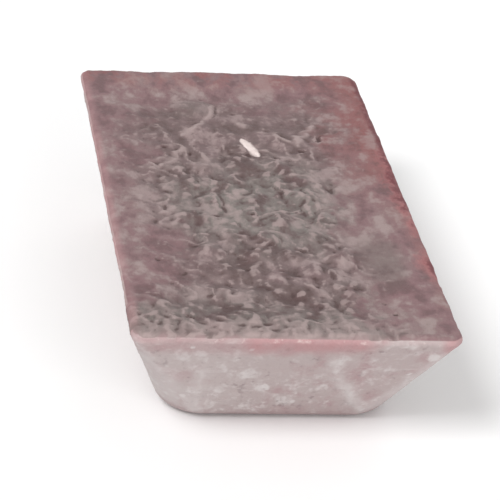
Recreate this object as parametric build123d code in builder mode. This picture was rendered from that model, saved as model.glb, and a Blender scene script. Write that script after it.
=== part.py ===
"""A crude copper ingot, cast in an open-topped mould.

The ingot lies as it was poured, with its small face down and its rough face up. The mould's ends lean
further out than its sides, its corners are cones that widen towards the base, and its floor is
rounded into its walls. Molten copper doesn't wet the mould, so its edge froze rounded all round the
rim. Inside a flat land the face sank into a shallow pool as the metal set. Its crust is lumpy from the
front to the middle, and near the back end gas raised one low blister on it.

Millimetres. +Z is up and the length lies along Y. The origin is the middle of the base.
"""

import os
from math import asin, atan, degrees, hypot

from build123d import *

# Overall size of the ingot
length = 340.0
width = 168.0
height = 72.0

# How far each wall of the mould leans out from its floor up to its mouth
end_lean = 48.0
side_lean = 25.0

# Corners of the mould's mouth and of its floor, and the rounding between its walls and its floor
mouth_corner_radius = 5.0
floor_corner_radius = 25.0
floor_edge_radius = 14.0

# The rounded edge that the metal's surface tension left along the rim
rim_edge_radius = 3.0

# The set: the land left along the ends and the sides, the slope inside it and how deep it goes
end_land = 16.0
side_land = 13.0
pool_slope = 20.0
pool_depth = 2.6
pool_corner_radius = 26.0
pool_floor_corner_radius = 14.0
pool_edge_radius = 60.0

# The crust's main lumps: staggered rows of low mounds, each pushed a little out of line, in which every
# second row has one mound fewer. Their sizes vary by a part of the size given.
lump_rows = 8
lumps_in_row = 4
lump_spacing_across = 23.0
lump_spacing_along = 22.0
first_lump_row_from_front = 17.0
lump_wander = 3.0
lump_sides = 7
lump_diameter = 20.0
lump_top_diameter = 9.0
lump_height = 1.5
lump_variation = 0.2
golden_ratio = (1 + 5**0.5) / 2

# The blister: its breadth, how far it stands up, and how far its middle lies inside the pool's floor
blister_diameter = 25.0
blister_height = 1.8
blister_from_back = 18.0
blister_from_left = 29.0


def rounding_loss(lean):
    """How far the rounded rim stays inside the sharp mouth of a wall with this lean."""
    return rim_edge_radius * (lean + hypot(lean, height) - height) / height


def scatter(number):
    """A value from -1 to 1 for each whole number, in no order that shows."""
    return 2 * (number * golden_ratio % 1) - 1


# Outlines that follow from the sizes above
mouth_length = length + 2 * rounding_loss(end_lean)
mouth_width = width + 2 * rounding_loss(side_lean)
floor_length = mouth_length - 2 * end_lean
floor_width = mouth_width - 2 * side_lean
pool_length = length - 2 * end_land
pool_width = width - 2 * side_land
pool_floor_length = pool_length - 2 * pool_slope
pool_floor_width = pool_width - 2 * pool_slope
pool_floor_height = height - pool_depth

# The blister is the cap of a large ball, cut off at the latitude where it meets the pool's floor
blister_radius = ((blister_diameter / 2) ** 2 + blister_height**2) / (2 * blister_height)
blister_latitude = degrees(asin(1 - blister_height / blister_radius))
blister_place = (
    blister_from_left - pool_floor_width / 2,
    pool_floor_length / 2 - blister_from_back,
    pool_floor_height,
)

# How far a lump's sides lean in from the upright
lump_slope = degrees(atan((lump_diameter - lump_top_diameter) / 2 / lump_height))

# Where each of the crust's lumps stands, its size as a part of the size given, and how it is turned
lumps = []
for row in range(lump_rows):
    in_row = lumps_in_row - row % 2
    for column in range(in_row):
        number = len(lumps) + 1
        x = (column - (in_row - 1) / 2) * lump_spacing_across + lump_wander * scatter(number)
        y = first_lump_row_from_front + row * lump_spacing_along + lump_wander * scatter(2 * number)
        place = (x, y - pool_floor_length / 2, pool_floor_height)
        lumps.append((place, 1 + lump_variation * scatter(3 * number), 180 * scatter(4 * number)))

with BuildPart() as cavity:
    # The mould's cavity, from its floor to its mouth
    with BuildSketch(Plane.XY) as floor_outline:
        RectangleRounded(floor_width, floor_length, floor_corner_radius)
    with BuildSketch(Plane.XY.offset(height)) as mouth_outline:
        RectangleRounded(mouth_width, mouth_length, mouth_corner_radius)
    loft(ruled=True)

# The loft makes its flat walls as ruled surfaces, so each is replaced by the plane within its outline
cavity_faces = [Face(face.outer_wire()) if face.is_planar else face for face in cavity.faces()]

with BuildPart() as ingot:
    # The metal fills the cavity
    add(Solid(Shell(cavity_faces)))

    # The floor of the mould is rounded into its walls
    floor_face = ingot.faces().sort_by(Axis.Z)[0]
    fillet(floor_face.edges(), floor_edge_radius)

    # The rim, rounded by surface tension
    open_face = ingot.faces().sort_by(Axis.Z)[-1]
    fillet(open_face.edges(), rim_edge_radius)

    # The pool left by the metal as it set, with no sharp edge where it starts or ends
    with BuildSketch(Plane.XY.offset(height)) as pool_outline:
        RectangleRounded(pool_width, pool_length, pool_corner_radius)
    with BuildSketch(Plane.XY.offset(pool_floor_height)) as pool_floor_outline:
        RectangleRounded(pool_floor_width, pool_floor_length, pool_floor_corner_radius)
    loft(ruled=True, mode=Mode.SUBTRACT)
    pool_floor = ingot.faces().filter_by(Plane.XY).sort_by(Axis.Z)[1]
    fillet(pool_floor.edges(), pool_edge_radius)
    land = ingot.faces().filter_by(Plane.XY).sort_by(Axis.Z)[-1]
    fillet(land.inner_wires().edges(), pool_edge_radius)

    # The blister
    with Locations(blister_place):
        Sphere(
            blister_radius,
            arc_size1=blister_latitude,
            align=(Align.CENTER, Align.CENTER, Align.MIN),
        )

    # The crust's main lumps
    for (x, y, z), size, turn in lumps:
        with BuildSketch(Plane.XY.offset(z)):
            with Locations((x, y)):
                RegularPolygon(lump_diameter * size / 2, lump_sides, rotation=turn)
        extrude(amount=lump_height * size, taper=lump_slope)

ingot.part.label = "ingot"

os.makedirs("parts", exist_ok=True)
export_step(ingot.part, "parts/ingot.step")
print(f"volume {ingot.part.volume / 1e6:.3f} litres")
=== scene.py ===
"""A crude copper ingot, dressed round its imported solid.

The block is one casting, so it is one piece: a closed shell of even cells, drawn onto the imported
solid and then given its cast surfaces by a Geometry Nodes tree. The tree raises the warty crust on
the open face, leaves the smooth margins round it, rounds the crust off in scallops over the front
rim, and roughens the walls as a washed mould does. It also writes what it did into the mesh's
attributes, and the material paints by them.

Everything is in metres, in the part's own frame: +Z up, length along Y, base on the floor.
"""

from math import atan2, cos, pi, radians, sin

import bpy
from bpy.props import FloatProperty, FloatVectorProperty, IntProperty, PointerProperty
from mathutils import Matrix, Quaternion, Vector


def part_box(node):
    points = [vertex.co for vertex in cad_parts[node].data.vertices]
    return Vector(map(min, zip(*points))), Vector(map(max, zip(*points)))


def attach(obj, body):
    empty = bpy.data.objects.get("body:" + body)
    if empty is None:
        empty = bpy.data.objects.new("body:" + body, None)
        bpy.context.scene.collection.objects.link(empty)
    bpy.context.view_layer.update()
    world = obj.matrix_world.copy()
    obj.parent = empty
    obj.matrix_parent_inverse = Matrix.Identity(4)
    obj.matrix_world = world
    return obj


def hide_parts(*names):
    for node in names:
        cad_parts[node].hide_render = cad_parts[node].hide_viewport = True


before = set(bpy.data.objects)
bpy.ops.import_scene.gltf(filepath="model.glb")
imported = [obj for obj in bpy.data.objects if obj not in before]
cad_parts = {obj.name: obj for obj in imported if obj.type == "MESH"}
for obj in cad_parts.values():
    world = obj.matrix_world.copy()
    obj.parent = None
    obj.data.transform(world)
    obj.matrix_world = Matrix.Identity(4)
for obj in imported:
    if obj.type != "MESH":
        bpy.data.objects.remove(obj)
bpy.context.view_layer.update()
LOW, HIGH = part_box("ingot")
LENGTH = HIGH[1] - LOW[1]
WIDTH = HIGH[0] - LOW[0]
HEIGHT = HIGH[2] - LOW[2]

# Millimetres in a metre
TO_MM = 1000

# How far the walls lean out from base to rim, the corner radius of the rim and how much larger it
# gets down to the base, in millimetres
END_LEAN, SIDE_LEAN = 48, 25
RIM_CORNER, CORNER_GROWTH = 5, 20

bl_info = {
    "name": "Crude Copper Ingot",
    "version": (1, 0, 0),
    "blender": (4, 5, 0),
    "location": "View3D > Sidebar > Ingot",
    "description": "Casts a crude copper ingot with a rough open face and sets a stage for it",
    "category": "Object",
}


def millimetres(name, description, size):
    """A length that the user gives, whose default is written here in millimetres."""
    return FloatProperty(
        name=name, description=description, default=size / TO_MM, unit="LENGTH", precision=5
    )


def paint(name, description, colour):
    """A colour that the user gives, as linear red, green and blue."""
    return FloatVectorProperty(
        name=name, description=description, default=colour, subtype="COLOR", min=0, max=1
    )


def angle(name, description, degrees):
    """An angle that the user gives, whose default is written here in degrees."""
    return FloatProperty(
        name=name, description=description, default=radians(degrees), unit="ROTATION"
    )


class IngotForm(bpy.types.PropertyGroup):
    """The cast block, and how finely its shell is divided."""

    end_lean: millimetres("End Lean", "How far the end walls lean out", END_LEAN)
    side_lean: millimetres("Side Lean", "How far the side walls lean out", SIDE_LEAN)
    rim_rounding: millimetres("Rim Rounding", "Radius of the rim's rounded edge", 3)
    base_rounding: millimetres("Base Rounding", "Radius between the walls and the base", 14)
    rim_corner: millimetres("Rim Corner", "Corner radius of the rim, seen from above", RIM_CORNER)
    base_corner: millimetres("Base Corner", "Corner radius of the base, seen from above", 22)
    cells_across: IntProperty(
        name="Cells Across", description="Cells over the width, a multiple of four", default=152
    )
    cells_along: IntProperty(
        name="Cells Along", description="Cells over the length, a multiple of four", default=308
    )
    corner_cells: IntProperty(
        name="Corner Cells", description="Cells on each half of a corner", default=7
    )
    rim_cells: IntProperty(name="Rim Cells", description="Cells round the rim's edge", default=5)
    wall_cells: IntProperty(name="Wall Cells", description="Cells down a wall", default=40)
    foot_cells: IntProperty(
        name="Foot Cells", description="Cells round the edge of the base", default=7
    )
    base_step: IntProperty(
        name="Base Step", description="How many cells one cell of the flat base spans", default=4
    )


class CastRelief(bpy.types.PropertyGroup):
    """Heights and sizes of what froze on the ingot's surface."""

    crust_thickness: millimetres("Crust Thickness", "How far the crust stands on the metal", 0.6)
    crust_reach: millimetres("Crust Reach", "How far the crust may stand above the rim", 2.0)
    crust_wander: millimetres("Crust Wander", "How far the crust's outline wanders", 36)
    lump_size: millimetres("Lump Size", "Breadth of the crust's smaller lumps", 15)
    lump_height: millimetres("Lump Height", "Height of the crust's smaller lumps", 1.3)
    crevice_depth: millimetres("Crevice Depth", "Depth of the crevices between lumps", 0.7)
    wart_size: millimetres("Wart Size", "Breadth of the crust's warts", 8.0)
    wart_height: millimetres("Wart Height", "Height of the crust's warts", 1.0)
    worm_size: millimetres("Worm Size", "Spacing of the crust's worm-like folds", 12)
    worm_height: millimetres("Worm Height", "Height of the crust's worm-like folds", 0.6)
    curl_size: millimetres("Curl Size", "Spacing of the crust's wide curls", 21)
    pit_size: millimetres("Pit Size", "Spacing of the gas pits", 14)
    pit_depth: millimetres("Pit Depth", "Depth of the gas pits", 1.2)
    swell_height: millimetres("Swell Height", "Height of the slow swells in the open face", 0.4)
    grain_height: millimetres("Grain Height", "Height of the crust's grain", 0.25)
    rim_waver: millimetres("Rim Waver", "How far the rim is from straight and level", 0.9)
    wall_unevenness: millimetres("Wall Unevenness", "Height of the walls' unevenness", 0.5)
    wall_dimples: millimetres("Wall Dimples", "Depth of the small dimples in the walls", 0.2)
    lap_height: millimetres("Lap Height", "Height of the laps that the rising metal left", 0.22)
    pimple_height: millimetres("Pimple Height", "Height of the pimples on the walls", 0.5)
    seed: IntProperty(name="Seed", description="Where the patterns are cut from", default=4)


class CopperColours(bpy.types.PropertyGroup):
    """Colours of the oxides, the mould wash and the metal, and the painted highlights and shade."""

    crust_brown: paint("Crust Brown", "Brownish grey crust", (0.161, 0.114, 0.109))
    crust_green: paint("Crust Green", "Greenish grey crust", (0.203, 0.181, 0.166))
    crust_mauve: paint("Crust Mauve", "Mauve grey crust", (0.202, 0.136, 0.138))
    # Light oxide for the light patches, and the painted highlight on crests, folds and the front
    # edge
    crest: paint("Crest", "Tops of the lumps and folds", (0.400, 0.308, 0.298))
    # Dark oxide for the dark patches, and the painted shade in the pits, creases and hollows
    pit: paint("Pit", "Bottoms of the pits and creases", (0.090, 0.055, 0.053))
    skin_mauve: paint("Skin Mauve", "Smooth oxide skin round the crust", (0.252, 0.148, 0.156))
    skin_rosy: paint("Skin Rosy", "Rosy brown parts of that skin", (0.262, 0.108, 0.106))
    skin_grey: paint("Skin Grey", "Greyer parts of that skin", (0.275, 0.200, 0.192))
    cuprite: paint("Cuprite", "Dark red oxide along the rim", (0.150, 0.042, 0.050))
    copper_red: paint("Copper Red", "Lighter red beside it", (0.400, 0.165, 0.165))
    chalk: paint("Chalk", "Mould wash baked onto the walls", (0.485, 0.405, 0.398))
    chalk_white: paint("Chalk White", "Thickest and worn places of the wash", (0.680, 0.630, 0.620))
    chalk_pink: paint("Chalk Pink", "Oxide showing through the wash", (0.440, 0.315, 0.318))
    chalk_green: paint("Chalk Green", "Greenish stains in the wash", (0.330, 0.335, 0.295))
    lip: paint("Lip", "Copper pink band below the rim", (0.480, 0.272, 0.278))
    scrape: paint("Scrape", "Fresh metal in a scrape", (0.790, 0.670, 0.640))


class StageSettings(bpy.types.PropertyGroup):
    """The camera, the floor and the light."""

    azimuth: angle("Azimuth", "How far the camera stands to the right", -10)
    elevation: angle("Elevation", "How high the camera stands", 26)
    roll: angle("Roll", "How far the camera leans", 5.5)
    distance: FloatProperty(
        name="Distance", description="From the camera to the ingot", default=1.55, unit="LENGTH"
    )
    lens: FloatProperty(
        name="Lens", description="Focal length in millimetres", default=200, min=1
    )
    floor_colour: paint("Floor Colour", "Plain pale floor", (0.80, 0.80, 0.80))
    floor_size: FloatProperty(
        name="Floor Size", description="Side of the floor", default=12, unit="LENGTH"
    )
    room_light: FloatProperty(
        name="Room Light", description="Strength of the light from all round", default=0.55
    )
    key_light: FloatProperty(
        name="Key Light", description="Strength of the main lamp", default=1.7
    )
    front_light: FloatProperty(
        name="Front Light", description="Strength of the low lamp in front", default=1.1
    )
    back_light: FloatProperty(
        name="Back Light", description="Strength of the low lamp behind", default=0.5
    )


class Field:
    """A value that runs through a node tree. Arithmetic on it adds the nodes that work it out."""

    def __init__(self, tree, socket):
        self.tree = tree
        self.socket = socket

    def __add__(self, other):
        return formula(self.tree, "ADD", self, other)

    def __radd__(self, other):
        return formula(self.tree, "ADD", other, self)

    def __sub__(self, other):
        return formula(self.tree, "SUBTRACT", self, other)

    def __rsub__(self, other):
        return formula(self.tree, "SUBTRACT", other, self)

    def __mul__(self, other):
        return formula(self.tree, "MULTIPLY", self, other)

    def __rmul__(self, other):
        return formula(self.tree, "MULTIPLY", other, self)

    def __truediv__(self, other):
        return formula(self.tree, "DIVIDE", self, other)

    def __rtruediv__(self, other):
        return formula(self.tree, "DIVIDE", other, self)

    def __abs__(self):
        return formula(self.tree, "ABSOLUTE", self)


def add_node(tree, kind, inputs=None, **settings):
    """Adds a node with these settings. Its inputs, by name or number, take fields or values."""
    node = tree.nodes.new(kind)
    for name, value in settings.items():
        setattr(node, name, value)
    for name, value in (inputs or {}).items():
        if isinstance(value, Field):
            tree.links.new(value.socket, node.inputs[name])
        else:
            node.inputs[name].default_value = value
    return node


def add_field(tree, kind, inputs=None, output=0, **settings):
    """Adds a node and returns one of its outputs as a field."""
    return Field(tree, add_node(tree, kind, inputs, **settings).outputs[output])


def formula(tree, operation, *terms):
    """A Math node."""
    return add_field(tree, "ShaderNodeMath", dict(enumerate(terms)), operation=operation)


def title(name):
    """A property's name as a tree input's name."""
    return name.replace("_", " ").title()


def smaller(first, second):
    return formula(first.tree, "MINIMUM", first, second)


def larger(first, second):
    return formula(first.tree, "MAXIMUM", first, second)


def nearest(fields, choose):
    """The smallest or largest of several fields."""
    result = fields[0]
    for field in fields[1:]:
        result = choose(result, field)
    return result


def rise(value, start, end):
    """0 before start and 1 after end, with a smooth step between, either way round."""
    inputs = {"Value": value, "From Min": start, "From Max": end}
    return add_field(value.tree, "ShaderNodeMapRange", inputs, interpolation_type="SMOOTHSTEP")


def blend(first, second, factor):
    """The first value where factor is 0 and the second where it is 1."""
    return first + (second - first) * factor


def vector_formula(operation, first, *others, output=0):
    """A Vector Math node."""
    inputs = dict(enumerate((first,) + others))
    return add_field(first.tree, "ShaderNodeVectorMath", inputs, output=output, operation=operation)


def moved(at, offset):
    """The place at, moved by a vector, so that one kind of noise can be drawn on twice."""
    return vector_formula("ADD", at, offset)


def scaled(at, factor):
    """The vector at, made longer by a factor."""
    inputs = {0: at, "Scale": factor}
    return add_field(at.tree, "ShaderNodeVectorMath", inputs, operation="SCALE")


def joined(tree, x, y, z):
    """A vector of three parts."""
    return add_field(tree, "ShaderNodeCombineXYZ", {0: x, 1: y, 2: z})


def split(at):
    """The three parts of a vector."""
    parts = add_node(at.tree, "ShaderNodeSeparateXYZ", {0: at})
    return [Field(at.tree, output) for output in parts.outputs]


def distance(flat, place):
    """How far a place on the open face or the front wall is from another."""
    return vector_formula("DISTANCE", flat, (*place, 0), output="Value")


def line_distance(flat, points):
    """How far a place on the open face or the front wall is from the line through these points."""
    distances = []
    for start, end in zip(points, points[1:]):
        run = Vector((*end, 0)) - Vector((*start, 0))
        from_start = vector_formula("SUBTRACT", flat, (*start, 0))
        part = vector_formula("DOT_PRODUCT", from_start, run / run.length_squared, output="Value")
        part = smaller(larger(part, 0), 1)
        along = scaled(joined(flat.tree, *run), part)
        distances.append(vector_formula("DISTANCE", from_start, along, output="Value"))
    return nearest(distances, smaller)


def noise(at, size, detail=2.0, roughness=0.5):
    """Soft noise about as wide as size, from -1 to 1."""
    inputs = {"Vector": at, "Scale": 1 / size, "Detail": detail, "Roughness": roughness}
    return add_field(at.tree, "ShaderNodeTexNoise", inputs) * 2 - 1


def cells(at, size, output=0, smoothness=None, randomness=1.0, **settings):
    """A pattern of cells this wide: how far the nearest middle is, in cells, or another output."""
    inputs = {"Vector": at, "Scale": 1 / size, "Randomness": randomness}
    if smoothness is not None:
        inputs["Smoothness"] = smoothness
    return add_field(at.tree, "ShaderNodeTexVoronoi", inputs, output=output, **settings)


def colours(factor, first, second):
    """A colour between two others."""
    mix = add_node(factor.tree, "ShaderNodeMix", data_type="RGBA")
    for name, value in {"Factor_Float": factor, "A_Color": first, "B_Color": second}.items():
        socket = next(s for s in mix.inputs if s.identifier == name)
        if isinstance(value, Field):
            factor.tree.links.new(value.socket, socket)
        else:
            socket.default_value = (*value, 1)
    return Field(factor.tree, next(s for s in mix.outputs if s.identifier == "Result_Color"))


def wall_profile(half_mouth, lean, form):
    """(outset, height) of each row of cells down one wall, from the open face to the base.

    half_mouth is the overall half width or half length, which the rim's rounding just touches.
    """
    tilt = atan2(lean, HEIGHT)
    rim, foot = form.rim_rounding, form.base_rounding
    rim_centre = (half_mouth - rim, HEIGHT - rim)
    wall_top = (rim_centre[0] + rim * cos(tilt), rim_centre[1] - rim * sin(tilt))
    foot_depth = foot - foot * sin(tilt)
    wall_bottom = (wall_top[0] - (wall_top[1] - foot_depth) * lean / HEIGHT, foot_depth)
    foot_centre = (wall_bottom[0] - foot * cos(tilt), foot)
    points = []
    for step in range(form.rim_cells):
        turn = pi / 2 - (pi / 2 + tilt) * step / form.rim_cells
        points.append((rim_centre[0] + rim * cos(turn), rim_centre[1] + rim * sin(turn)))
    for step in range(form.wall_cells):
        part = step / form.wall_cells
        points.append(tuple(a + (b - a) * part for a, b in zip(wall_top, wall_bottom)))
    for step in range(form.foot_cells + 1):
        turn = -tilt - (pi / 2 - tilt) * step / form.foot_cells
        points.append((foot_centre[0] + foot * cos(turn), foot_centre[1] + foot * sin(turn)))
    return points


def wall_rings(form):
    """The shell's rings of points, from the open face down to the base.

    Each is a rounded rectangle that starts at the middle of its front left corner. The ends and the
    sides lean differently, so a point's height goes from one profile to the other round a corner.
    """
    ends = wall_profile(LENGTH / 2, form.end_lean, form)
    sides = wall_profile(WIDTH / 2, form.side_lean, form)
    rings = []
    for (half_length, end_height), (half_width, side_height) in zip(ends, sides):
        drop = 1 - (end_height + side_height) / (2 * HEIGHT)
        radius = form.rim_corner + (form.base_corner - form.rim_corner) * drop
        ring = []
        for side, count in enumerate((form.cells_across, form.cells_along) * 2):
            facing = (side - 1) * pi / 2
            for step in range(count):
                early = min(step, form.corner_cells)
                late = max(step - (count - form.corner_cells), 0)
                turn = facing + (early + late - form.corner_cells) / form.corner_cells * pi / 4
                straight = (step - early - late) / (count - 2 * form.corner_cells)
                reach = Vector((half_width - radius, half_length - radius))
                start = Vector((cos(facing - pi / 4), sin(facing - pi / 4)))
                end = Vector((cos(facing + pi / 4), sin(facing + pi / 4)))
                here = start.lerp(end, straight) * 2**0.5
                x = here.x * reach.x + radius * cos(turn)
                y = here.y * reach.y + radius * sin(turn)
                height = side_height + (end_height - side_height) * sin(turn) ** 2
                ring.append((x, y, height))
        rings.append(ring)
    return rings


def fill_ring(points, faces, first, form, step, upwards):
    """Fills the ring of points that starts at index first with a grid of cells, each step wide."""
    across, along = form.cells_across, form.cells_along
    count = 2 * (across + along)
    ring = [Vector(points[first + i]) for i in range(count)]

    def rim_index(i, j):
        if j == 0:
            return i
        if i == across:
            return across + j
        if j == along:
            return across + along + (across - i)
        return (count - j) % count

    grid = {}
    for j in range(0, along + 1, step):
        for i in range(0, across + 1, step):
            if i in (0, across) or j in (0, along):
                continue
            u, v = i / across, j / along
            front, back = ring[rim_index(i, 0)], ring[rim_index(i, along)]
            left, right = ring[rim_index(0, j)], ring[rim_index(across, j)]
            corners = (
                (ring[0] * (1 - u) + ring[across] * u) * (1 - v)
                + (ring[2 * across + along] * (1 - u) + ring[across + along] * u) * v
            )
            grid[i, j] = len(points)
            points.append(front * (1 - v) + back * v + left * (1 - u) + right * u - corners)

    def index(i, j):
        if i in (0, across) or j in (0, along):
            return first + rim_index(i, j)
        return grid[i, j]

    for j in range(0, along, step):
        for i in range(0, across, step):
            corners = [(i, j), (i + step, j), (i + step, j + step), (i, j + step)]
            cell = []
            for (i0, j0), (i1, j1) in zip(corners, corners[1:] + corners[:1]):
                on_rim = (i0 == i1 and i0 in (0, across)) or (j0 == j1 and j0 in (0, along))
                parts = step if on_rim else 1
                for part in range(parts):
                    i_here = i0 + (i1 - i0) * part // parts
                    j_here = j0 + (j1 - j0) * part // parts
                    cell.append(index(i_here, j_here))
            faces.append(cell if upwards else cell[::-1])


def make_shell(form):
    """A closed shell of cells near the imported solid's surface."""
    rings = wall_rings(form)
    count = len(rings[0])
    points = [point for ring in rings for point in ring]
    faces = []
    for row in range(len(rings) - 1):
        above, below = row * count, (row + 1) * count
        for column in range(count):
            following = (column + 1) % count
            faces.append([below + column, below + following, above + following, above + column])
    fill_ring(points, faces, 0, form, 1, upwards=True)
    fill_ring(points, faces, (len(rings) - 1) * count, form, form.base_step, upwards=False)
    mesh = bpy.data.meshes.new("ingot_cast")
    mesh.from_pydata(points, [], faces)
    mesh.validate()
    return mesh


# Half the ingot's width, half its length and its height, in millimetres
HALF_WIDTH, HALF_LENGTH, TOP = WIDTH / 2 * TO_MM, LENGTH / 2 * TO_MM, HEIGHT * TO_MM

# How far one step of the seed moves the patterns along X, Y and Z, in millimetres
SEED_STEP = (37.1, 63.07, 14.84)

# How many times as wide as long the open face's patterns are, and the patches at its right
PATTERN_SLIM, PATCH_SLIM = 0.62, 0.45

# Places on the open face, in millimetres from its middle
BLISTER = (-22, 116)
GREEN_MIDDLE = (5, -15)
FOLDS = (
    ((-10, 122), (-13, 104), (-22, 91), (-31, 80)),
    ((-33, 61), (-43, 43), (-51, 32), (-57, 44)),
    ((4, 96), (21, 84), (34, 67)),
    ((34, 70), (40, 86), (48, 98)),
)
DEEP_PITS = (
    ((-43, 60), 2.4), ((-31, 53), 2.2), ((2, 109), 2.2), ((17, 42), 1.8), ((47, 79), 2.4),
    ((35, 60), 2.8), ((24, 46), 2.2), ((53, 2), 2.4), ((20, -21), 2.0), ((-5, -27), 2.4),
    ((16, -69), 3.6), ((-62, -84), 2.8), ((-40, -121), 3.0), ((-16, -94), 2.6), ((32, -113), 3.2),
    ((50, -127), 2.4), ((54, -142), 2.2), ((-78, -147), 2.0),
)
LIGHT_PATCHES = (
    ((-53, -23), 9), ((-33, -18), 9), ((15, -35), 8), ((11, -83), 8), ((44, -140), 8),
    ((34, -84), 8), ((30, -129), 4),
)
SCRAPE_ENDS = ((2, 76), (9, 52))
OLIVE_PATCH = (57, -80)
RED_PATCHES = (((84, 16), 13), ((83, -12), 10), ((84, -40), 8), ((84, -88), 11), ((84, 44), 11))

# Places on the front wall, in millimetres to the right of its middle and up
WALL_RIPPLES = (((21, 53), (24, 40), (30, 31), (38, 18), (44, 7)), ((-45, 42), (-46, 24), (-43, 7)))
WALL_SPECKS = (((71, 58), 5), ((-11, 30), 3), ((-52, 20), 2.5), ((6, 16), 2.0))


def edge_distance(x, y):
    """How far inside the edge of the open face a place is."""
    return smaller(HALF_WIDTH - abs(x), HALF_LENGTH - abs(y))


class Place:
    """Where a place on the ingot is, in millimetres, and that place moved about for patterns."""

    def __init__(self, tree, here, shift):
        self.here = here
        self.x, self.y, self.z = split(here)
        self.flat = joined(tree, self.x, self.y, 0.0)
        self.at = moved(here, shift)
        inputs = {"Vector": here, "Scale": 1 / 15}
        push = add_field(tree, "ShaderNodeTexNoise", inputs, output="Color")
        push = moved(push, (-0.5, -0.5, -0.5))
        self.lengthwise = stretched(self.at, 1, PATTERN_SLIM, 1)
        self.bent = moved(self.lengthwise, scaled(push, 10))
        self.bent_flat = moved(self.flat, scaled(push, 12))
        self.to_edge = edge_distance(self.x, self.y)


def near_top(z):
    """1 on the open face and on the rim, and 0 on the walls below them."""
    return rise(z, TOP - 6, TOP - 5)


def off_rim(place):
    """1 on the open face inside the rim and 0 on the rim."""
    return rise(place.to_edge, 2, 7)


def on_front_wall(place):
    """1 on the front wall and 0 well behind it."""
    return rise(place.y, -90, -110)


def marked(flat, places):
    """1 in the middle of the nearest of these spots, 0 at its edge and less outside it."""
    spots = [1 - distance(flat, place) / radius for place, radius in places]
    return nearest(spots, larger)


def stretched(at, x, y, z):
    """The place at with its parts made longer, so that a noise drawn on it is flattened."""
    return vector_formula("MULTIPLY", at, (x, y, z))


def snapped(surface, solid):
    """The shell drawn onto the solid, with the facets of the lumps in its open face smoothed."""
    tree = surface.tree
    nearest_place = add_field(tree, "GeometryNodeProximity", {0: solid}, target_element="FACES")
    inputs = {"Geometry": surface, "Position": nearest_place}
    surface = add_field(tree, "GeometryNodeSetPosition", inputs)
    x, y, z = split(scaled(add_field(tree, "GeometryNodeInputPosition"), TO_MM))
    smooth_z = add_field(tree, "GeometryNodeBlurAttribute", {0: z, "Iterations": 10})
    lift = (smooth_z - z) * rise(edge_distance(x, y), 8, 14) * near_top(z) * (1 / TO_MM)
    inputs = {"Geometry": surface, "Offset": joined(tree, 0.0, 0.0, lift)}
    return add_field(tree, "GeometryNodeSetPosition", inputs)


def crust_cover(place, wander):
    """How far inside the crust's outline a place is, how thick the crust is there and how grey.

    The crust keeps off the sides and the back, and runs to the front edge and over it in scallops.
    Its thickness and its greyness go from 0 to 1, the greyness more slowly.
    """
    x, y, z, at = place.x, place.y, place.z, place.at
    left = x + 71 + 9 * rise(y, -70, -160) - 14 * rise(y, 70, 130)
    right = 58 + 7 * rise(y, 40, 110) - 12 * rise(abs(y + 75), 50, 15) - x
    inside = smaller(smaller(left, right), 132 - y)
    waver = noise(at, 80, detail=1) * 0.8 + noise(at, 36, detail=4, roughness=0.6)
    inside = inside + (waver + noise(at, 9) * 0.3) * wander
    inputs = {"W": x + noise(at, 20) * 8, "Scale": 1 / 14, "Randomness": 0.8}
    lobes = add_field(x.tree, "ShaderNodeTexVoronoi", inputs, voronoi_dimensions="1D")
    droop = 0.3 + rise(lobes, 0.5, 0.1) * (0.8 + noise(at, 34, detail=1))
    droop = droop + noise(at, 4, detail=2) * 0.8
    before_edge = larger(z - (TOP - droop), (y + HALF_LENGTH - 8) * 0.4)
    kept = rise(before_edge, -0.5, 0.4) * near_top(z)
    return inside, rise(inside, -14, 14) * kept, rise(inside, -18, 34) * kept


def crust_pattern(place, inside, given):
    """The crust's own height: lumps, crevices, warts, worm-like folds and gas pits, all bent.

    It is rough in the middle and at the front, and calmer towards the back and its own edges. The
    second value is 1 in its pits.
    """
    y, at, bent = place.y, place.at, place.bent
    strength = 0.4 + 0.6 * rise(y + noise(at, 60) * 40, 110, 10)
    strength = strength * (0.25 + 0.75 * rise(inside, -4, 24))
    lump_size = given("lump_size")
    lumps = rise(cells(bent, lump_size, feature="SMOOTH_F1", smoothness=0.5), 0.8, 0.1)
    gaps = cells(bent, lump_size, feature="DISTANCE_TO_EDGE")
    gaps = rise(gaps + noise(at, 5) * 0.12, 0.13, 0.02) * rise(noise(at, 20), -0.15, 0.3)
    warts = rise(cells(bent, given("wart_size"), feature="SMOOTH_F1", smoothness=0.4), 0.75, 0.05)
    worms = rise(abs(noise(moved(bent, (50, 0, 0)), given("worm_size"), detail=1)), 0.2, 0.0)
    worms = worms * rise(noise(at, 28), -0.2, 0.2)
    pit_pick = split(cells(bent, given("pit_size"), output="Color"))[0]
    pit_width = noise(at, 5) * 0.06
    pits = rise(cells(bent, given("pit_size")) + pit_width, 0.22, 0.06) * rise(pit_pick, 0.5, 0.7)
    pattern = (lumps - 0.5) * given("lump_height") + (warts - 0.5) * given("wart_height")
    pattern = pattern + worms * given("worm_height") - gaps * given("crevice_depth")
    return (pattern - pits * given("pit_depth")) * strength, larger(pits, gaps * 0.6) * strength


def scrape_mask(place):
    """1 in the scrape, an ellipse round its two ends."""
    ends = [distance(place.flat, end) for end in SCRAPE_ENDS]
    reach = (Vector(SCRAPE_ENDS[0]) - Vector(SCRAPE_ENDS[1])).length
    return rise(ends[0] + ends[1] + noise(place.here, 5) * 0.5, reach + 1.2, reach + 0.15)


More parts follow.
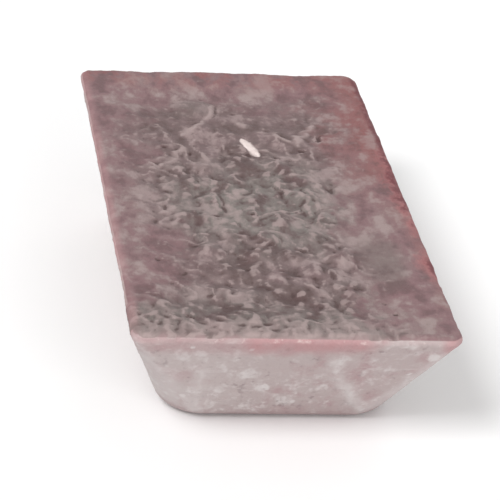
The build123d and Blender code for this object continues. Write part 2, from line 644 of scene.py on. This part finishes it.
def lip_mask(place):
    """1 in the copper pink band under the rim, which has gaps and a ragged lower edge."""
    x, y, z, at = place.x, place.y, place.z, place.at
    on_front = rise(y, -110, -116)
    wandering = x + noise(at, 12) * 12
    on_middle = rise(wandering, -42, -16) * rise(wandering, 46, 26)
    on_front = on_front * larger(larger(on_middle, rise(x, 70, 78)), rise(x, 10, -10) * 0.25)
    band = rise(z + noise(at, 22, detail=3) * 7, TOP - 16, TOP - 6)
    elsewhere = rise(noise(at, 40), 0.05, 0.35) * rise(y, -116, -110)
    line = rise(z + noise(at, 9) * 4, TOP - 5, TOP - 2) * rise(noise(at, 18, detail=1), -0.1, 0.2)
    line = line * larger(rise(y, -168, -160), rise(x, -60, -20))
    return larger(band * larger(on_front, elsewhere), line * 0.8)


def ripple_distance(place):
    """How far a place on the front wall is from the nearest of its ripples."""
    front = joined(place.x.tree, place.x, place.z, 0.0)
    return nearest([line_distance(front, points) for points in WALL_RIPPLES], smaller)


def wall_relief(place, given):
    """The mould's unevenness, laps of the rising metal, pimples and ripples on the front wall.

    The second value is 1 on the pimples.
    """
    at, pimple_spacing = place.at, 11.0
    pimple_pick = split(cells(at, pimple_spacing, output="Color"))[1]
    pimples = rise(cells(at, pimple_spacing), 0.17, 0.04) * rise(pimple_pick, 0.55, 0.75)
    laps = abs(noise(stretched(at, 1, 1, 3.5), 26, detail=2))
    laps = rise(laps, 0.10, 0.0) * rise(noise(at, 35), -0.1, 0.25)
    ripples = rise(ripple_distance(place) + noise(at, 12) * 8, 7, 0) * on_front_wall(place)
    walls = noise(at, 34, detail=3) * given("wall_unevenness")
    walls = walls + noise(at, 7, detail=2) * given("wall_dimples") + laps * given("lap_height")
    walls = walls + pimples * given("pimple_height") + ripples * 0.6
    return walls, pimples


def face_marks(place, crust, curl_size):
    """The marks that this ingot has: a blister, wandering folds and curls, deep pits and a scrape.

    Returns their height, the folds, the deep pits, and where the crust's pattern shows, which it
    does neither on the blister nor in the scrape.
    """
    y, at, bent_flat = place.y, place.at, place.bent_flat
    blister = distance(bent_flat, BLISTER)
    folds = nearest([line_distance(bent_flat, points) for points in FOLDS], smaller)
    folds = rise(folds, 3.2, 0.3) * rise(noise(at, 14), -0.6, 0.0)
    frill = cells(place.bent, 11, feature="DISTANCE_TO_EDGE")
    frill = rise(frill, 0.15, 0.03) * rise(y, -138, -156)
    folds = larger(folds, frill * crust * 0.6)
    curls = rise(abs(noise(moved(place.bent, (0, 70, 0)), curl_size, detail=1)), 0.09, 0.0)
    curls = curls * rise(noise(at, 30, detail=1), -0.25, 0.2) * rise(y, 115, 60)
    folds = larger(folds, curls * crust * 0.6)
    deep = rise(marked(bent_flat, DEEP_PITS) + noise(at, 3.5) * 0.5, 0.0, 0.6)
    scrape = scrape_mask(place)
    height = folds * 0.8 - deep * 1.3 - scrape * 0.3
    height = height + rise(blister, 15, 5) * 0.7 - rise(abs(blister - 15), 3.5, 0.0) * 0.3
    return height, folds, deep, rise(blister, 8, 18) * (1 - scrape)


def relief_tree(names):
    """The tree that draws the bare shell onto the solid and gives it its cast surfaces.

    Inside it, lengths are in millimetres. It writes what it did into the shell's attributes.
    """
    tree = bpy.data.node_groups.new("cast_surfaces", "GeometryNodeTree")
    for name, kind in (("Geometry", "Geometry"), ("Solid", "Object"), ("Material", "Material")):
        tree.interface.new_socket(name, in_out="INPUT", socket_type="NodeSocket" + kind)
    for name in names:
        kind = "Int" if name == "seed" else "Float"
        tree.interface.new_socket(title(name), in_out="INPUT", socket_type="NodeSocket" + kind)
    tree.interface.new_socket("Geometry", in_out="OUTPUT", socket_type="NodeSocketGeometry")
    entry = tree.nodes.new("NodeGroupInput")

    def given(name):
        return Field(tree, entry.outputs[title(name)]) * TO_MM

    inputs = {0: Field(tree, entry.outputs["Solid"])}
    solid = add_field(tree, "GeometryNodeObjectInfo", inputs, output="Geometry")
    surface = snapped(Field(tree, entry.outputs["Geometry"]), solid)
    normal = add_field(tree, "GeometryNodeInputNormal")
    here = scaled(add_field(tree, "GeometryNodeInputPosition"), TO_MM)
    seed = Field(tree, entry.outputs["Seed"])
    place = Place(tree, here, joined(tree, *(seed * step for step in SEED_STEP)))
    z, at = place.z, place.at
    facing_up = rise(split(normal)[2], 0.30, 0.92)

    inside, crust, grey = crust_cover(place, given("crust_wander"))
    pattern, pits = crust_pattern(place, inside, given)
    grain = noise(at, 2.6, detail=3) * given("grain_height")

    marks, folds, deep, rough = face_marks(place, crust, given("curl_size"))
    rough = rough * (0.7 + 0.3 * rise(place.to_edge, 3, 14))
    skin = noise(at, 24, detail=2) * 0.8 + noise(at, 8, detail=3, roughness=0.6) * 0.7
    open_face = noise(at, 70, detail=1) * given("swell_height") + skin + marks
    open_face = open_face + crust * (pattern * rough + grain + given("crust_thickness"))

    walls, pimples = wall_relief(place, given)
    lip = lip_mask(place)
    walls = walls - lip * 0.12 + crust * given("crust_thickness") + grain * 0.3
    rim = rise(place.to_edge, 7, 1) * rise(z, TOP - 12, TOP - 2)
    waver = noise(at, 26, detail=2) + noise(moved(at, (90, 0, 0)), 12) * 0.4
    rim = rim * waver * given("rim_waver")
    raised = open_face * facing_up + walls * (1 - facing_up) + rim
    raised = smaller(raised * rise(z, 0, 9), TOP + given("crust_reach") - z)

    smooth = add_field(tree, "GeometryNodeBlurAttribute", {0: raised, "Iterations": 8})
    attributes = {
        "crust": crust,
        "grey": grey,
        "hollow": smooth - raised,
        "open_face": facing_up,
        "lip": lip,
        "pitted": larger(deep, pits * crust),
        "pimple": pimples,
        "fold": folds,
    }
    for name, value in attributes.items():
        inputs = {"Geometry": surface, "Name": name, "Value": value}
        surface = add_field(tree, "GeometryNodeStoreNamedAttribute", inputs, domain="POINT")
    inputs = {"Geometry": surface, "Offset": scaled(normal, raised * (1 / TO_MM))}
    surface = add_field(tree, "GeometryNodeSetPosition", inputs)
    surface = add_field(tree, "GeometryNodeSetShadeSmooth", {"Geometry": surface})
    surface = add_field(tree, "GeometryNodeRealizeInstances", {"Geometry": surface})
    inputs = {"Geometry": surface, "Material": Field(tree, entry.outputs["Material"])}
    surface = add_field(tree, "GeometryNodeSetMaterial", inputs)
    add_node(tree, "NodeGroupOutput", {0: surface})
    return tree


class Tones:
    """The patches, from broad to fine, by which the paints change, mostly from -1 to 1."""

    def __init__(self, at):
        self.broad = noise(at, 48, detail=3) * 2
        self.tint = noise(moved(at, (300, 0, 0)), 20, detail=4, roughness=0.6) * 2
        self.mottle = noise(at, 9.5, detail=3, roughness=0.55) * 2
        self.flecks = noise(moved(at, (0, 200, 0)), 3.2, detail=2, roughness=0.6) * 2
        self.fine = noise(at, 1.5, detail=3, roughness=0.65) * 2
        self.cloud = self.mottle * 0.85 + self.tint * 0.75 + self.flecks * 0.1


def crust_paint(place, tones, hollow, paints):
    """The grey crust, greenest at the front and middle, light in patches, with painted highlights
    on crests.
    """
    tint, mottle, cloud = tones.tint, tones.mottle, tones.cloud
    blister = rise(distance(place.bent_flat, BLISTER) + mottle * 2, 17, 8)
    front = rise(place.y + tones.broad * 20, -95, -145)
    green = larger(front, rise(distance(place.flat, GREEN_MIDDLE) + tint * 25, 85, 30))
    green = larger(green * rise(tint + mottle * 0.7, -0.7, 0.4), blister * 0.3)
    crust = colours(rise(tint + mottle * 0.5, -0.7, 0.7), paints.crust_brown, paints.crust_mauve)
    crust = colours(green, crust, paints.crust_green)
    patches = marked(place.bent_flat, LIGHT_PATCHES) + mottle * 0.4
    light = larger(rise(cloud, 0.0, 0.8), rise(patches, 0.0, 0.7))
    crust = colours(light * (0.64 - blister * 0.3), crust, paints.crest)
    crust = colours(front * 0.28, crust, paints.pit)
    dark = rise(cloud, 0.0, -0.8) * (0.62 + front * 0.26 - blister * 0.6)
    crust = colours(dark, crust, paints.pit)
    # Painted highlight on the crests of the relief
    return colours(rise(hollow, -0.04, -0.35) * 0.7, crust, paints.crest)


def skin_paint(place, tones, hollow, paints):
    """The smooth skin round the crust: mauve, rosy at the right and back, olive in one patch."""
    x, y, tint, mottle, cloud = place.x, place.y, tones.tint, tones.mottle, tones.cloud
    skin = colours(rise(tint * 0.7 + mottle * 0.4, -0.3, 0.6), paints.skin_mauve, paints.skin_grey)
    rosy = rise(x + tones.broad * 18 + tint * 10 + rise(y, -130, 80) * 50, 78, 120)
    rosy = larger(rosy, rise(y + tint * 10, 138, 158) * rise(mottle, -0.5, 0.5))
    skin = colours(rosy * 0.95, skin, paints.skin_rosy)
    skin = colours(rise(cloud, 0.0, 0.7) * (0.7 - 0.3 * rosy), skin, paints.crest)
    middle = (OLIVE_PATCH[0], OLIVE_PATCH[1] * PATCH_SLIM)
    olive = distance(stretched(place.bent_flat, 1, PATCH_SLIM, 1), middle) + mottle * 2
    olive = rise(olive, 18, 7)
    skin = colours(olive * 0.45, skin, paints.crust_green)
    skin = colours(olive * 0.25, skin, paints.crust_brown)
    skin = colours(rise(cloud, 0.0, -0.7) * (0.15 + 0.3 * off_rim(place)), skin, paints.pit)
    # Painted highlight on the crests of the skin's relief
    return colours(rise(hollow, -0.05, -0.3) * 0.4, skin, paints.crest)


def face_paint(place, tones, relief, paints):
    """The open face: grey crust in mauve skin, painted highlights on the front edge and folds,
    painted shade in pits.
    """
    tint, mottle, hollow = tones.tint, tones.mottle, relief["hollow"]
    crust = crust_paint(place, tones, hollow, paints)
    skin = skin_paint(place, tones, hollow, paints)
    grey = relief["grey"] + mottle * 0.25 + tint * 0.25 + tones.flecks * 0.1
    face = colours(rise(grey, 0.0, 1.0), skin, crust)
    # A painted highlight along the front edge of the open face
    front_edge_highlight = rise(place.y + tint * 5 + mottle * 4, -150, -165)
    front_edge_highlight = front_edge_highlight * rise(place.x + tint * 10, 66, 30)
    face = colours(front_edge_highlight * 0.5, face, paints.crest)
    # Painted shade in the hollows and the pits
    dark = rise(hollow + tones.fine * 0.04, 0.06, 0.5) * off_rim(place)
    dark = larger(dark, relief["pitted"])
    face = colours(dark * 0.85, face, paints.pit)
    # Painted highlight on the raised folds and curls
    return colours(relief["fold"] * 0.7, face, paints.crest)


def rim_paint(colour, place, tones, paints):
    """The rim: red oxide along the right side and worn pink along the left."""
    x, y, z = place.x, place.y, place.z
    high = rise(z + tones.mottle, TOP - 4, TOP - 2)
    push = scaled(joined(x.tree, tones.mottle, tones.tint, 0.0), 2.5)
    pushed = moved(stretched(place.flat, 1, PATCH_SLIM, 0), push)
    spots = [((x0, y0 * PATCH_SLIM), radius) for (x0, y0), radius in RED_PATCHES]
    red = marked(pushed, spots) + tones.flecks * 0.2
    colour = colours(rise(red, 0.0, 0.6) * 0.75 * high, colour, paints.copper_red)
    broken = rise(tones.flecks + tones.mottle, -1.2, 0.0)
    line = rise(HALF_WIDTH - x + tones.mottle, 5.5, 2.5) * rise(y + tones.tint * 30, 20, 70)
    deepest = rise(red + rise(y, -40, -5) * 0.2, 0.4, 0.9)
    colour = colours(larger(line, deepest) * 0.85 * high * broken, colour, paints.cuprite)
    worn = rise(HALF_WIDTH + x + tones.mottle, 6.0, 1.5) * high
    worn = worn * (0.3 + 0.7 * rise(tones.tint + tones.mottle * 0.3, -0.6, 0.5))
    worn = worn * rise(y, -168, -150)
    return colours(worn * 0.55, colour, paints.lip)


def wash_paint(place, tones, paints):
    """The mould wash on the walls, with pink and green stains, and white where it is thick.

    Its streaks run down the ends and along the sides.
    """
    at, tint, mottle, flecks = place.at, tones.tint, tones.mottle, tones.flecks
    on_end = rise(abs(place.y) - abs(place.x), 50, 60)
    streaks = noise(stretched(at, 1, 1, 0.22), 7, detail=3) * 2
    bands = noise(stretched(at, 0.2, 0.2, 1), 6, detail=3) * 2
    streaks = blend(bands, streaks, on_end)
    stain = rise(tint * 0.7 + tones.broad * 0.4 + streaks * 0.3, -0.1, 0.7)
    wash = colours(stain, paints.chalk, paints.chalk_pink)
    green = rise(tones.broad + streaks * 0.3, -0.2, 0.8) * (1 - on_end)
    wash = colours(green * 0.7, wash, paints.chalk_green)
    lower = rise(place.z + tint * 12, 48, 26)
    speckle = rise(mottle * 0.7 + flecks * 0.5, 0.1, 0.9) * (0.3 + 0.5 * lower)
    pale = rise(streaks * 0.7 - tint * 0.6, 0.1, 0.8)
    wash = colours(larger(speckle, pale * 0.75), wash, paints.chalk_white)
    return colours(rise(mottle * 0.8 + flecks * 0.5, -0.3, -1.1) * 0.6, wash, paints.crust_mauve)


def wear_paint(wash, place, tones, hollow, paints):
    """The wash worn to white at the arrises and on crests, and pink at the foot and in hollows."""
    x, z, tint, mottle = place.x, place.z, tones.tint, tones.mottle
    down = 1 - z / TOP
    corner = RIM_CORNER + CORNER_GROWTH * down
    past_side = abs(x) - HALF_WIDTH + SIDE_LEAN * down + corner
    past_end = abs(place.y) - HALF_LENGTH + END_LEAN * down + corner
    arris = rise(smaller(past_side, past_end) + mottle * 3 + tint * 2, -1, 8)
    wash = colours(arris * 0.5, wash, paints.chalk_white)
    below_rim = rise(z + mottle * 3, 66, 54)
    to_left = rise(x + tones.broad * 20, -20, -60)
    wash = colours(to_left * below_rim * 0.15, wash, paints.chalk_white)
    wash = colours(rise(x + tones.broad * 20, 20, 60) * 0.15, wash, paints.chalk_pink)
    wash = colours((1 - below_rim) * rise(x + tint * 10, 50, 30) * 0.3, wash, paints.chalk_pink)
    foot = rise(z + mottle * 3 + tint * 3, 12, 4)
    wash = colours(foot * 0.6, wash, paints.chalk_pink)
    wash = colours(rise(hollow, -0.02, -0.25) * 0.4, wash, paints.chalk_white)
    return colours(rise(hollow, 0.02, 0.3) * 0.6, wash, paints.chalk_pink)


def wall_paint(place, tones, relief, paints):
    """The walls: worn mould wash, painted highlights on the ripples and along the top, specks, and
    the pink lip.
    """
    x, z, tint, mottle, flecks = place.x, place.z, tones.tint, tones.mottle, tones.flecks
    wall = wash_paint(place, tones, paints)
    wall = wear_paint(wall, place, tones, relief["hollow"], paints)
    front = joined(x.tree, x, z, 0.0)
    # Painted highlights on the ripples, and white specks
    ripples = rise(ripple_distance(place) + mottle * 2.5 + tint * 3, 8, -2) * on_front_wall(place)
    specks = rise(marked(front, WALL_SPECKS) + flecks * 0.2, 0.1, 0.6) * on_front_wall(place)
    wall = colours(larger(ripples * 0.4, specks * 0.8), wall, paints.chalk_white)
    wall = colours(relief["lip"] * smaller(0.85 + 0.25 * mottle, 1), wall, paints.lip)
    # Painted highlights along the top of the walls, in the colour of fresh metal, partly worn edges
    glints = rise(z + mottle, TOP - 4, TOP - 2) * rise(flecks * 0.6 + mottle * 0.6, 0.2, 0.9)
    wall = colours(glints * 0.5, wall, paints.scrape)
    return colours(relief["pimple"], wall, paints.chalk_white)


def copper_material(paints):
    """Oxide crust and skin, copper pink lip and chalky mould wash, laid out by the attributes.

    Inside it, lengths are in millimetres.
    """
    material = bpy.data.materials.new("crude_copper")
    material.use_nodes = True
    tree = material.node_tree
    tree.nodes.clear()
    here = scaled(add_field(tree, "ShaderNodeTexCoord", output="Object"), TO_MM)
    place = Place(tree, here, (0, 0, 0))
    tones = Tones(place.lengthwise)
    relief = {}
    for name in ("crust", "grey", "hollow", "open_face", "lip", "pitted", "pimple", "fold"):
        relief[name] = add_field(tree, "ShaderNodeAttribute", output="Fac", attribute_name=name)

    scrape = scrape_mask(place) * relief["open_face"]
    face = colours(scrape, face_paint(place, tones, relief, paints), paints.scrape)
    wall = wall_paint(place, tones, relief, paints)
    colour = colours(rise(larger(relief["open_face"], relief["crust"]), 0.35, 0.65), wall, face)
    colour = rim_paint(colour, place, tones, paints)

    bump = tones.fine * 0.5 + tones.flecks * 0.5 + noise(place.at, 0.6, detail=2) * 0.4
    bump_height = 0.25
    inputs = {"Strength": 1.0, "Distance": bump_height / TO_MM, "Height": bump}
    normal = add_field(tree, "ShaderNodeBump", inputs, output="Normal")
    roughness = 0.72 + tones.mottle * 0.06 - scrape * 0.3
    inputs = {
        "Base Color": colour,
        "Metallic": scrape * 0.6,
        "Roughness": roughness,
        "Specular IOR Level": 0.25,
        "Normal": normal,
    }
    shader = add_field(tree, "ShaderNodeBsdfPrincipled", inputs, output="BSDF")
    add_node(tree, "ShaderNodeOutputMaterial", {"Surface": shader})
    return material


class INGOT_OT_cast(bpy.types.Operator):
    """Make the ingot: its shell, its cast surfaces and its oxide colours"""

    bl_idname = "ingot.cast"
    bl_label = "Cast Ingot"

    def execute(self, context):
        scene = context.scene
        relief = scene.cast_relief
        piece = bpy.data.objects.new("ingot_cast", make_shell(scene.ingot_form))
        scene.collection.objects.link(piece)
        names = list(CastRelief.__annotations__)
        values = {title(name): getattr(relief, name) for name in names}
        values["Solid"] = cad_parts["ingot"]
        values["Material"] = copper_material(scene.copper_colours)
        modifier = piece.modifiers.new("cast_surfaces", "NODES")
        modifier.node_group = relief_tree(names)
        for item in modifier.node_group.interface.items_tree:
            if item.in_out == "INPUT" and item.name in values:
                modifier[item.identifier] = values[item.name]
        finished = piece.evaluated_get(context.evaluated_depsgraph_get())
        mesh = bpy.data.meshes.new_from_object(finished)
        piece.modifiers.remove(modifier)
        piece.data = mesh
        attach(piece, "root")
        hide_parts("ingot")
        return {"FINISHED"}


def floor_material(colour):
    """A plain matt floor, which the camera sees as white under its shadows."""
    material = bpy.data.materials.new("pale_floor")
    material.use_nodes = True
    tree = material.node_tree
    shader = tree.nodes["Principled BSDF"]
    rays = tree.nodes.new("ShaderNodeLightPath")
    seen = Field(tree, rays.outputs["Is Camera Ray"]) + Field(tree, rays.outputs["Is Glossy Ray"])
    seen = smaller(seen + Field(tree, rays.outputs["Is Transmission Ray"]), 1)
    tree.links.new(colours(seen, colour, (1, 1, 1)).socket, shader.inputs["Base Color"])
    shader.inputs["Roughness"].default_value = 1.0
    shader.inputs["Specular IOR Level"].default_value = 0.0
    return material


def look_from(target, azimuth, elevation, distance):
    """A place at a distance from the target, and the turn of what looks back at it."""
    back = Vector((sin(azimuth) * cos(elevation), -cos(azimuth) * cos(elevation), sin(elevation)))
    return target + back * distance, (-back).to_track_quat("-Z", "Y")


class INGOT_OT_stage(bpy.types.Operator):
    """Make the floor, the light and the camera"""

    bl_idname = "ingot.stage"
    bl_label = "Set Stage"

    def execute(self, context):
        scene = context.scene
        stage = scene.stage_settings
        middle = Vector((0, 0, HEIGHT / 2))

        half = stage.floor_size / 2
        corners = [(-half, -half, 0), (half, -half, 0), (half, half, 0), (-half, half, 0)]
        mesh = bpy.data.meshes.new("floor")
        mesh.from_pydata(corners, [], [(0, 1, 2, 3)])
        mesh.materials.append(floor_material(stage.floor_colour))
        floor = bpy.data.objects.new("floor", mesh)
        scene.collection.objects.link(floor)

        world = bpy.data.worlds.new("room")
        world.use_nodes = True
        background = world.node_tree.nodes["Background"]
        background.inputs["Color"].default_value = (1, 1, 1, 1)
        background.inputs["Strength"].default_value = stage.room_light
        scene.world = world

        lamp_distance = 2
        for name, azimuth, elevation, strength, softness in (
            ("key", -50, 48, stage.key_light, 25),
            ("front", 20, 14, stage.front_light, 40),
            ("back", 160, 20, stage.back_light, 40),
        ):
            lamp = bpy.data.lights.new(name, "SUN")
            lamp.energy = strength
            lamp.angle = radians(softness)
            holder = bpy.data.objects.new(name, lamp)
            aim = (radians(azimuth), radians(elevation), lamp_distance)
            holder.location, turn = look_from(middle, *aim)
            holder.rotation_euler = turn.to_euler()
            scene.collection.objects.link(holder)

        camera = bpy.data.cameras.new("camera")
        camera.lens = stage.lens
        holder = bpy.data.objects.new("camera", camera)
        holder.location, turn = look_from(middle, stage.azimuth, stage.elevation, stage.distance)
        turn = turn @ Quaternion((0, 0, 1), stage.roll)
        holder.rotation_euler = turn.to_euler()
        scene.collection.objects.link(holder)
        scene.camera = holder
        scene.view_settings.view_transform = "Standard"
        return {"FINISHED"}


class INGOT_PT_sidebar(bpy.types.Panel):
    """Lists the ingot's steps in the 3D view's sidebar"""

    bl_idname = "INGOT_PT_sidebar"
    bl_label = "Crude Copper Ingot"
    bl_space_type = "VIEW_3D"
    bl_region_type = "UI"
    bl_category = "Ingot"

    def draw(self, context):
        layout = self.layout
        layout.operator(INGOT_OT_cast.bl_idname)
        layout.operator(INGOT_OT_stage.bl_idname)
        for group in (
            context.scene.ingot_form,
            context.scene.cast_relief,
            context.scene.copper_colours,
            context.scene.stage_settings,
        ):
            column = layout.column()
            for name in group.__annotations__:
                column.prop(group, name)


CLASSES = (
    IngotForm,
    CastRelief,
    CopperColours,
    StageSettings,
    INGOT_OT_cast,
    INGOT_OT_stage,
    INGOT_PT_sidebar,
)


def register():
    for cls in CLASSES:
        bpy.utils.register_class(cls)
    bpy.types.Scene.ingot_form = PointerProperty(type=IngotForm)
    bpy.types.Scene.cast_relief = PointerProperty(type=CastRelief)
    bpy.types.Scene.copper_colours = PointerProperty(type=CopperColours)
    bpy.types.Scene.stage_settings = PointerProperty(type=StageSettings)


def unregister():
    del bpy.types.Scene.stage_settings
    del bpy.types.Scene.copper_colours
    del bpy.types.Scene.cast_relief
    del bpy.types.Scene.ingot_form
    for cls in reversed(CLASSES):
        bpy.utils.unregister_class(cls)


def main():
    register()
    bpy.ops.ingot.cast()
    bpy.ops.ingot.stage()


if __name__ == "__main__":
    main()
